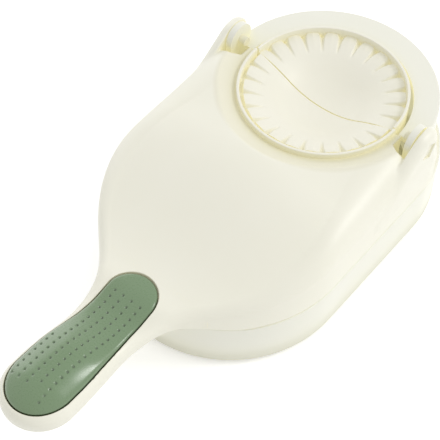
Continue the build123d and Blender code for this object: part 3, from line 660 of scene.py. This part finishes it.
def grip_top(x, setback):
    """Height of the pad: a lip at its edge, a dome that swells towards the end."""
    inward = np.clip(-grip_plan(x, setback), 0.0, None)
    edge = -HANDLE_TOP_DROP - GRIP_EDGE_DROP - handle_dip(setback)
    swell = GRIP_FRONT_SWELL + GRIP_SWELL * eased(setback, *GRIP_SWELLS)
    share = np.clip(inward / GRIP_DOME_WIDTH, 0.0, 1.0)
    dome = 1.0 - (1.0 - share) ** GRIP_DOME_POWER
    lip = GRIP_LIP * (1.0 - np.exp(-inward / GRIP_LIP_WIDTH))
    return edge - GRIP_LIP_DROP + lip + swell * dome - dimple_depth(x, setback)


def grip_stations():
    """Setbacks along the pad, closer together round its two ends."""
    front = GRIP_FRONT_SETBACK - GRIP_FRONT_RADIUS
    end = GRIP_END_SETBACK + GRIP_END_REACH
    turn_front = np.linspace(GRIP_TIP_TURN, math.pi / 2, GRIP_FRONT_SAMPLES)
    turn_end = np.linspace(math.pi / 2, GRIP_TIP_TURN, GRIP_END_SAMPLES)
    start = GRIP_FRONT_SETBACK - GRIP_FRONT_RADIUS * np.cos(turn_front)
    stop = GRIP_END_SETBACK + GRIP_END_REACH * np.cos(turn_end)
    middle = np.arange(GRIP_FRONT_SETBACK, GRIP_END_SETBACK, GRIP_SAMPLE_GAP)[1:]
    return np.concatenate([[front], start, middle, stop, [end]])


def outline_half(stations):
    """The pad's half width at each station, by halving the interval."""
    low = np.zeros_like(stations)
    high = np.full_like(stations, GRIP_WIDEST)
    for _ in range(GRIP_HALVINGS):
        middle = (low + high) / 2
        inside = grip_plan(middle, stations) < 0
        low = np.where(inside, middle, low)
        high = np.where(inside, high, middle)
    return low


def sheet_faces(rows, columns):
    index = np.arange(rows * columns).reshape(rows, columns)
    quads = np.stack([index[:-1, :-1], index[1:, :-1], index[1:, 1:], index[:-1, 1:]], -1)
    return [tuple(quad) for quad in quads.reshape(-1, 4).tolist()]


def border_loop(rows, columns):
    index = np.arange(rows * columns).reshape(rows, columns)
    there = list(index[0, :]) + list(index[1:, -1])
    back = list(index[-1, -2::-1]) + list(index[-2:0:-1, 0])
    return there + back


def grip_pad():
    """Domed soft pad, its sides turned down into the seat."""
    stations = grip_stations()
    even = np.linspace(-1.0, 1.0, GRIP_LANES)
    lanes = np.sin(even * math.pi / 2) * GRIP_LANE_CROWDING + even * (1.0 - GRIP_LANE_CROWDING)
    across = outline_half(stations)[:, None] * lanes[None, :]
    along = np.broadcast_to(stations[:, None], across.shape)
    points = np.stack([across, -along, grip_top(across, along)], -1).reshape(-1, 3)
    faces = sheet_faces(*across.shape)
    rim = border_loop(*across.shape)
    skirt = points[rim].copy()
    skirt[:, 2] = -GRIP_SEAT
    low = len(points)
    count = len(rim)
    for step in range(count):
        after = (step + 1) % count
        faces.append((rim[step], low + step, low + after, rim[after]))
    faces.append([low + step for step in range(count)])
    pad = mesh_piece("grip_dome", np.concatenate([points, skirt]), faces)
    return weld(pad, GRIP_WELD, GRIP_SHARP)


# ---- crimping mould

def smooth_floor():
    """The mould's section as a fine smooth line through its named points."""
    knots, heights = np.array(MOULD_FLOOR).T
    tangents = np.gradient(heights, knots)
    tangents[0] = 0.0
    radii = np.linspace(knots[0], knots[-1], FLOOR_SAMPLES)
    cell = np.clip(np.searchsorted(knots, radii, side="right") - 1, 0, len(knots) - 2)
    width = knots[cell + 1] - knots[cell]
    share = (radii - knots[cell]) / width
    value = (2 * share ** 3 - 3 * share ** 2 + 1) * heights[cell]
    value += (share ** 3 - 2 * share ** 2 + share) * width * tangents[cell]
    value += (-2 * share ** 3 + 3 * share ** 2) * heights[cell + 1]
    value += (share ** 3 - share ** 2) * width * tangents[cell + 1]
    return radii, value


FLOOR_RADII, FLOOR_HEIGHTS = smooth_floor()


def mould_floor(radius):
    """Bowl and crimping band without the grooves."""
    return np.interp(radius, FLOOR_RADII, FLOOR_HEIGHTS)


def crimp(radius, angle, turn, lift):
    """Height of the crimping band with its grooves; angle in degrees within the half."""
    first = 90.0 - GROOVE_PITCH * (GROOVES_PER_HALF - 1) / 2 + turn
    step = np.clip(np.round((angle - first) / GROOVE_PITCH), 0, GROOVES_PER_HALF - 1)
    away = np.radians(np.abs(angle - first - step * GROOVE_PITCH)) * radius
    outward = np.clip((radius - CRIMP_START) / (CRIMP_END - CRIMP_START), 0.0, 1.0)
    inner, gain, flare = GROOVE_HALF_WIDTHS
    spread = inner + gain * outward + flare * outward ** 5
    inner, gain, flare = GROOVE_DEPTHS
    depth = inner + gain * outward + flare * outward ** 4
    depth = depth * eased(radius, CRIMP_START - GROOVE_FADE, CRIMP_START + GROOVE_FADE)
    share = np.clip(1.0 - np.sqrt((away / spread) ** 2 + GROOVE_ROUND), 0.0, 1.0)
    share = GROOVE_STRAIGHT * share + (1.0 - GROOVE_STRAIGHT) * eased(share, 0.0, 1.0)
    between = np.clip(away / (GROOVE_PITCH / 2) / np.radians(radius + TINY), 0, 1)
    puff = CRIMP_PUFF * outward * np.cos(between * math.pi / 2)
    return mould_floor(radius) - depth * share - puff + lift * outward


def arc_line(centre, radius, start, end):
    turns = np.radians(np.linspace(start, end, ARC_SAMPLES))
    return [(centre[0] + radius * math.cos(turn), centre[1] + radius * math.sin(turn)) for turn in turns]


def mould_section(outer, wall, band_end, gutter, turn, lift):
    """Section of one mould half at any angle: bowl, band, gutter, rim, skirt."""
    land = outer - wall
    bowl = np.linspace(0.0, BOWL_COARSE_RADIUS, BOWL_SAMPLES)[:-1]
    band = np.linspace(BOWL_COARSE_RADIUS, band_end, BAND_SAMPLES)
    radii = np.concatenate([bowl, band])
    rim = [(land - inward, height) for inward, height in gutter]
    rim += arc_line((land + MOULD_RIM_ROUND, -MOULD_RIM_ROUND), MOULD_RIM_ROUND, 180.0, 90.0)
    rim += arc_line((outer - MOULD_RIM_ROUND, -MOULD_RIM_ROUND), MOULD_RIM_ROUND, 90.0, 0.0)
    under = [(outer, -SKIRT_DROP), (land, -SKIRT_DROP), (land, -SKIRT_INNER_DROP)]
    for radius in np.linspace(land - SKIRT_CORNER, 0.0, UNDER_SAMPLES):
        under.append((radius, mould_floor(radius) - MOULD_WALL))

    def section(angle):
        heights = crimp(radii, np.full_like(radii, angle), turn, lift)
        return list(zip(radii, heights)) + rim + under
    return section


def half_turned(name, side, section):
    """A closed section, given for each angle, swept through half a turn.

    The side is 1 behind the hinge and -1 in front of it.
    """
    loops = []
    for angle in np.linspace(0.0, 180.0, MOULD_STEPS + 1):
        line = np.asarray(section(angle))
        turn = math.radians(angle)
        x = line[:, 0] * math.cos(turn)
        y = side * (line[:, 0] * math.sin(turn) + MOULD_GAP / 2)
        loops.append(np.stack([x, y, line[:, 1]], 1))
    size = len(loops[0])
    faces = []
    for step in range(MOULD_STEPS):
        here = step * size
        ahead = here + size
        for place in range(size):
            after = (place + 1) % size
            faces.append((here + place, here + after, ahead + after, ahead + place))
    faces.append(list(range(size)))
    faces.append([MOULD_STEPS * size + place for place in range(size)])
    return weld(mesh_piece(name, np.concatenate(loops), faces), MOULD_WELD, MOULD_SHARP)


def rear_mould():
    band_end = REAR_RIM_RADIUS - REAR_RIM_WALL - REAR_BAND_GAP
    section = mould_section(REAR_RIM_RADIUS, REAR_RIM_WALL, band_end, REAR_GUTTER, REAR_TURN, 0.0)
    return half_turned("rear_mould", 1, section)


def front_mould():
    section = mould_section(RIM_RADIUS, RIM_WALL, BAND_OUTER, FRONT_GUTTER, 0.0, PAD_LIFT)
    return half_turned("front_mould", -1, section)


# ---- material nodes

def feed(tree, socket, value):
    """Links a socket to another one, or sets it to a plain value."""
    if isinstance(value, bpy.types.NodeSocket):
        tree.links.new(value, socket)
    else:
        socket.default_value = value


def worked_out(tree, kind, operation, values):
    node = tree.nodes.new(kind)
    node.operation = operation
    for socket, value in zip(node.inputs, values):
        feed(tree, socket, value)
    return node.outputs


def maths(tree, operation, *values):
    return worked_out(tree, "ShaderNodeMath", operation, values)["Value"]


def vector_maths(tree, operation, *values):
    return worked_out(tree, "ShaderNodeVectorMath", operation, values)["Vector"]


def mapped(tree, value, span, low=0.0, high=1.0):
    """From low to high as the value crosses the span, level outside it."""
    node = tree.nodes.new("ShaderNodeMapRange")
    node.inputs["From Min"].default_value = span[0]
    node.inputs["From Max"].default_value = span[1]
    feed(tree, node.inputs["Value"], value)
    feed(tree, node.inputs["To Min"], low)
    feed(tree, node.inputs["To Max"], high)
    return node.outputs["Result"]


def ramp(tree, value, stops):
    """The colour that a value picks from stops of (place, colour)."""
    node = tree.nodes.new("ShaderNodeValToRGB")
    elements = node.color_ramp.elements
    while len(elements) < len(stops):
        elements.new(0.5)
    for element, (place, color) in zip(elements, stops):
        element.position = place
        element.color = (*color, 1)
    tree.links.new(value, node.inputs["Fac"])
    return node.outputs["Color"]


def noise(tree, scale, detail):
    """Cloudy noise that is fixed to the piece."""
    place = tree.nodes.new("ShaderNodeTexCoord")
    cloud = tree.nodes.new("ShaderNodeTexNoise")
    cloud.inputs["Scale"].default_value = scale
    cloud.inputs["Detail"].default_value = detail
    tree.links.new(place.outputs["Object"], cloud.inputs["Vector"])
    return cloud.outputs["Fac"]


def openness(tree, reach):
    """1 in the open, 0 where walls within reach close the surface in."""
    closed = tree.nodes.new("ShaderNodeAmbientOcclusion")
    closed.samples = AO_SAMPLES
    closed.inputs["Distance"].default_value = reach
    return closed.outputs["AO"]


def in_metres(span):
    return [value / MM_PER_M for value in span]


# ---- materials

def new_material(name):
    material = bpy.data.materials.new(name)
    material.use_nodes = True
    tree = material.node_tree
    return material, tree, tree.nodes["Principled BSDF"]


def grained(tree, shader, grain, gloss, strength):
    """A fine grain varies the gloss and lightly roughens the surface."""
    tree.links.new(mapped(tree, grain, (0.0, 1.0), *gloss), shader.inputs["Roughness"])
    bump = tree.nodes.new("ShaderNodeBump")
    bump.inputs["Strength"].default_value = strength
    bump.inputs["Distance"].default_value = BUMP_DEPTH
    tree.links.new(grain, bump.inputs["Height"])
    tree.links.new(bump.outputs["Normal"], shader.inputs["Normal"])


def glow_strength(tree, place, radius):
    """Strength of the painted glow: none by the ground or on the handle, full on the body, more in the
    crescent.
    """
    parts = tree.nodes.new("ShaderNodeSeparateXYZ")
    tree.links.new(place, parts.inputs["Vector"])
    raised = mapped(tree, parts.outputs["Z"], in_metres(GLOW_HEIGHTS))
    on_body = mapped(tree, parts.outputs["Y"], in_metres(GLOW_ALONG), 0.0, raised)
    outside = mapped(tree, radius, in_metres(CRESCENT_RADII), 0.0, CRESCENT_GAIN)
    more = maths(tree, "ADD", 1.0, outside)
    behind = mapped(tree, parts.outputs["Y"], in_metres(CRESCENT_ALONG), 1.0, more)
    return maths(tree, "MULTIPLY", on_body, behind)


def paint_gap_shade_and_glow(tree, shader, color, dished):
    """Painted light in place of light soaking through the walls: a warm shade tint and a glow in the
    corners, so closed spaces never go black.
    """
    corner = openness(tree, CORNER_REACH)
    tinted = vector_maths(tree, "MULTIPLY", color, ramp(tree, corner, CORNER_SHADE_TINTS))
    place = tree.nodes.new("ShaderNodeTexCoord").outputs["Object"]
    flatten = (1.0, 1.0, 0.0)
    to_hinge = (0.0, -HINGE_Y / MM_PER_M, 0.0)
    centred = vector_maths(tree, "MULTIPLY_ADD", place, flatten, to_hinge)
    radius = worked_out(tree, "ShaderNodeVectorMath", "LENGTH", [centred])["Value"]
    # Painted shade on the dish, by distance from the mould's middle
    if dished:
        share = mapped(tree, radius, in_metres((0.0, DISH_TINT_RADIUS)))
        tinted = vector_maths(tree, "MULTIPLY", tinted, ramp(tree, share, DISH_SHADE_TINTS))
    tree.links.new(tinted, shader.inputs["Base Color"])
    near = ramp(tree, corner, CORNER_GLOW)
    far = ramp(tree, openness(tree, SPACE_REACH), SPACE_GLOW)
    tree.links.new(vector_maths(tree, "MAXIMUM", near, far), shader.inputs["Emission Color"])
    tree.links.new(glow_strength(tree, place, radius), shader.inputs["Emission Strength"])


def paint_pit_shade(tree, shader, color):
    """Painted shade: the pad's pits and its edge line are darker than its crown."""
    scale = tree.nodes.new("ShaderNodeVectorMath")
    scale.operation = "SCALE"
    shade = mapped(tree, openness(tree, PIT_REACH), PIT_SPAN, PIT_SHADE)
    tree.links.new(color, scale.inputs[0])
    tree.links.new(shade, scale.inputs["Scale"])
    tree.links.new(scale.outputs["Vector"], shader.inputs["Base Color"])


def moulded_plastic(name, color, roughness, tint, coat):
    """Moulded plastic with faint flow marks and a fine grain.

    Gives the material, its node tree, its shader and the colour with the marks.
    """
    material, tree, shader = new_material(name)
    dark = [channel * (1.0 - tint) for channel in color]
    dark[2] = color[2] * (1.0 - 2.0 * tint)
    marks = noise(tree, CLOUD_SCALE, CLOUD_DETAIL)
    clouded = ramp(tree, marks, tuple(zip(CLOUD_SPAN, (dark, color))))
    tree.links.new(clouded, shader.inputs["Base Color"])
    gloss = (roughness - GLOSS_SPREAD, roughness + GLOSS_SPREAD)
    grained(tree, shader, noise(tree, GRAIN_SCALE, GRAIN_DETAIL), gloss, GRAIN_BUMP)
    shader.inputs["Coat Weight"].default_value = coat
    shader.inputs["Coat Roughness"].default_value = COAT_ROUGHNESS
    return material, tree, shader, clouded


def cream_plastic(name, color, dished=False):
    """The press's own plastic, with painted shade and painted glow in its gaps; the dished kind also
    carries the dish's painted shade.
    """
    material, tree, shader, clouded = moulded_plastic(name, color, *CREAM_FINISH)
    paint_gap_shade_and_glow(tree, shader, clouded, dished)
    return material


def grip_plastic(name, color):
    material, tree, shader, clouded = moulded_plastic(name, color, *GRIP_FINISH)
    paint_pit_shade(tree, shader, clouded)
    return material


def dull_rubber(name, color):
    return moulded_plastic(name, color, *RUBBER_FINISH)[0]


def turned_steel(name, color):
    """Zinc-plated screws: bright metal with fine turning marks and dull patches."""
    material, tree, shader = new_material(name)
    shader.inputs["Base Color"].default_value = (*color, 1)
    shader.inputs["Metallic"].default_value = 1.0
    grained(tree, shader, noise(tree, STEEL_SCALE, STEEL_DETAIL), STEEL_GLOSS, STEEL_BUMP)
    return material


# ---- camera, light, floor

def add_camera():
    data = bpy.data.cameras.new("camera")
    data.lens = CAMERA_LENS
    data.sensor_width = CAMERA_SENSOR
    data.sensor_fit = "HORIZONTAL"
    data.clip_start = CAMERA_NEAR
    camera = bpy.data.objects.new("camera", data)
    bpy.context.scene.collection.objects.link(camera)
    tilt = Matrix.Rotation(math.radians(90.0 - CAMERA_ELEVATION), 4, "X")
    turn = Matrix.Rotation(math.radians(CAMERA_AZIMUTH), 4, "Z")
    camera.matrix_world = Matrix.Translation(CAMERA_PLACE) @ turn @ tilt
    bpy.context.scene.camera = camera


def seen_ray(tree):
    """1 for the rays that see a backdrop: straight, mirrored or through glass."""
    path = tree.nodes.new("ShaderNodeLightPath").outputs
    mirrored = maths(tree, "MAXIMUM", path["Is Camera Ray"], path["Is Glossy Ray"])
    return maths(tree, "MAXIMUM", mirrored, path["Is Transmission Ray"])


def room_level(tree):
    """Soft light all round: brighter to both sides and behind, darker in front."""
    place = tree.nodes.new("ShaderNodeTexCoord")
    parts = tree.nodes.new("ShaderNodeSeparateXYZ")
    tree.links.new(place.outputs["Generated"], parts.inputs["Vector"])
    right = parts.outputs["X"]
    rear = parts.outputs["Y"]
    level = ROOM_LEVEL
    shares = ((maths(tree, "ABSOLUTE", right), ROOM_SIDES), (rear, ROOM_REAR), (right, ROOM_RIGHT))
    for source, share in shares:
        level = maths(tree, "MULTIPLY_ADD", source, share, level)
    return level


def add_world():
    world = bpy.data.worlds.new("studio")
    bpy.context.scene.world = world
    world.use_nodes = True
    tree = world.node_tree
    back = tree.nodes["Background"]
    back.inputs["Color"].default_value = (*WHITE, 1)
    tree.links.new(room_level(tree), back.inputs["Strength"])
    seen = tree.nodes.new("ShaderNodeBackground")
    seen.inputs["Color"].default_value = (*WHITE, 1)
    seen.inputs["Strength"].default_value = 1.0
    mix = tree.nodes.new("ShaderNodeMixShader")
    tree.links.new(seen_ray(tree), mix.inputs["Fac"])
    tree.links.new(back.outputs["Background"], mix.inputs[1])
    tree.links.new(seen.outputs["Background"], mix.inputs[2])
    tree.links.new(mix.outputs["Shader"], tree.nodes["World Output"].inputs["Surface"])
    bpy.context.scene.view_settings.view_transform = "Standard"


def add_lamp(name, place, size, power):
    data = bpy.data.lights.new(name, "AREA")
    data.shape = "DISK"
    data.size = size
    data.energy = power
    lamp = bpy.data.objects.new(name, data)
    lamp.location = place
    aim = Vector(LAMP_TARGET) - Vector(place)
    lamp.rotation_euler = aim.to_track_quat("-Z", "Y").to_euler()
    bpy.context.scene.collection.objects.link(lamp)


def add_floor():
    """A plain white surface under the feet, lifted to the backdrop's white."""
    mesh = bpy.data.meshes.new("floor")
    half = FLOOR_HALF
    corners = [(-half, -half, 0), (half, -half, 0), (half, half, 0), (-half, half, 0)]
    mesh.from_pydata(corners, [], [(0, 1, 2, 3)])
    floor = bpy.data.objects.new("floor", mesh)
    floor.location.z = CAD_BOX[0][2]
    bpy.context.scene.collection.objects.link(floor)
    material, tree, shader = new_material("floor")
    shader.inputs["Base Color"].default_value = (*FLOOR_SHADE, 1)
    shader.inputs["Roughness"].default_value = FLOOR_ROUGHNESS
    shader.inputs["Specular IOR Level"].default_value = FLOOR_SHEEN
    shader.inputs["Emission Color"].default_value = (*WHITE, 1)
    lift = maths(tree, "MULTIPLY", seen_ray(tree), FLOOR_LIFT)
    tree.links.new(lift, shader.inputs["Emission Strength"])
    mesh.materials.append(material)


# ---- the scene

def dress(obj, body, material, node):
    obj.data.materials.append(material)
    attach(obj, body)
    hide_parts(node)


add_camera()
add_world()
add_floor()
for name, place, size, power in LAMPS:
    add_lamp(name, place, size, power)

LEVER_CREAM = cream_plastic("lever_cream", LEVER_COLOR, dished=True)
HIDDEN_CREAM = cream_plastic("hidden_cream", LEVER_COLOR)
BASE_CREAM = cream_plastic("base_cream", BASE_COLOR)
GRIP_GREEN = grip_plastic("grip_green", GRIP_COLOR)
SCREW_STEEL = turned_steel("screw_steel", STEEL_COLOR)
FOOT_RUBBER = dull_rubber("foot_rubber", RUBBER_COLOR)

dress(lever_cap(), "lever", LEVER_CREAM, "lever_shell")
dress(lever_handle(), "lever", LEVER_CREAM, "lever_shell")
dress(grip_pad(), "lever", GRIP_GREEN, "grip_pad")
dress(rear_mould(), "base", LEVER_CREAM, "rear_mould_half")
dress(front_mould(), "lever", LEVER_CREAM, "lever_mould_half")

# The dish's painted shade reaches the pins' ends in its notches, but no piece under it
LOOKS = {
    "lever_cream": HIDDEN_CREAM,
    "base_cream": BASE_CREAM,
    "mould_cream": HIDDEN_CREAM,
    "pin_cream": LEVER_CREAM,
    "grip_green": GRIP_GREEN,
    "screw_steel": SCREW_STEEL,
    "foot_rubber": FOOT_RUBBER,
}
for row in frame["record"]["subparts"]:
    obj = frame["nodes"][row["node"]]
    for slot in obj.material_slots:
        slot.material = LOOKS[row["material_slot"]]
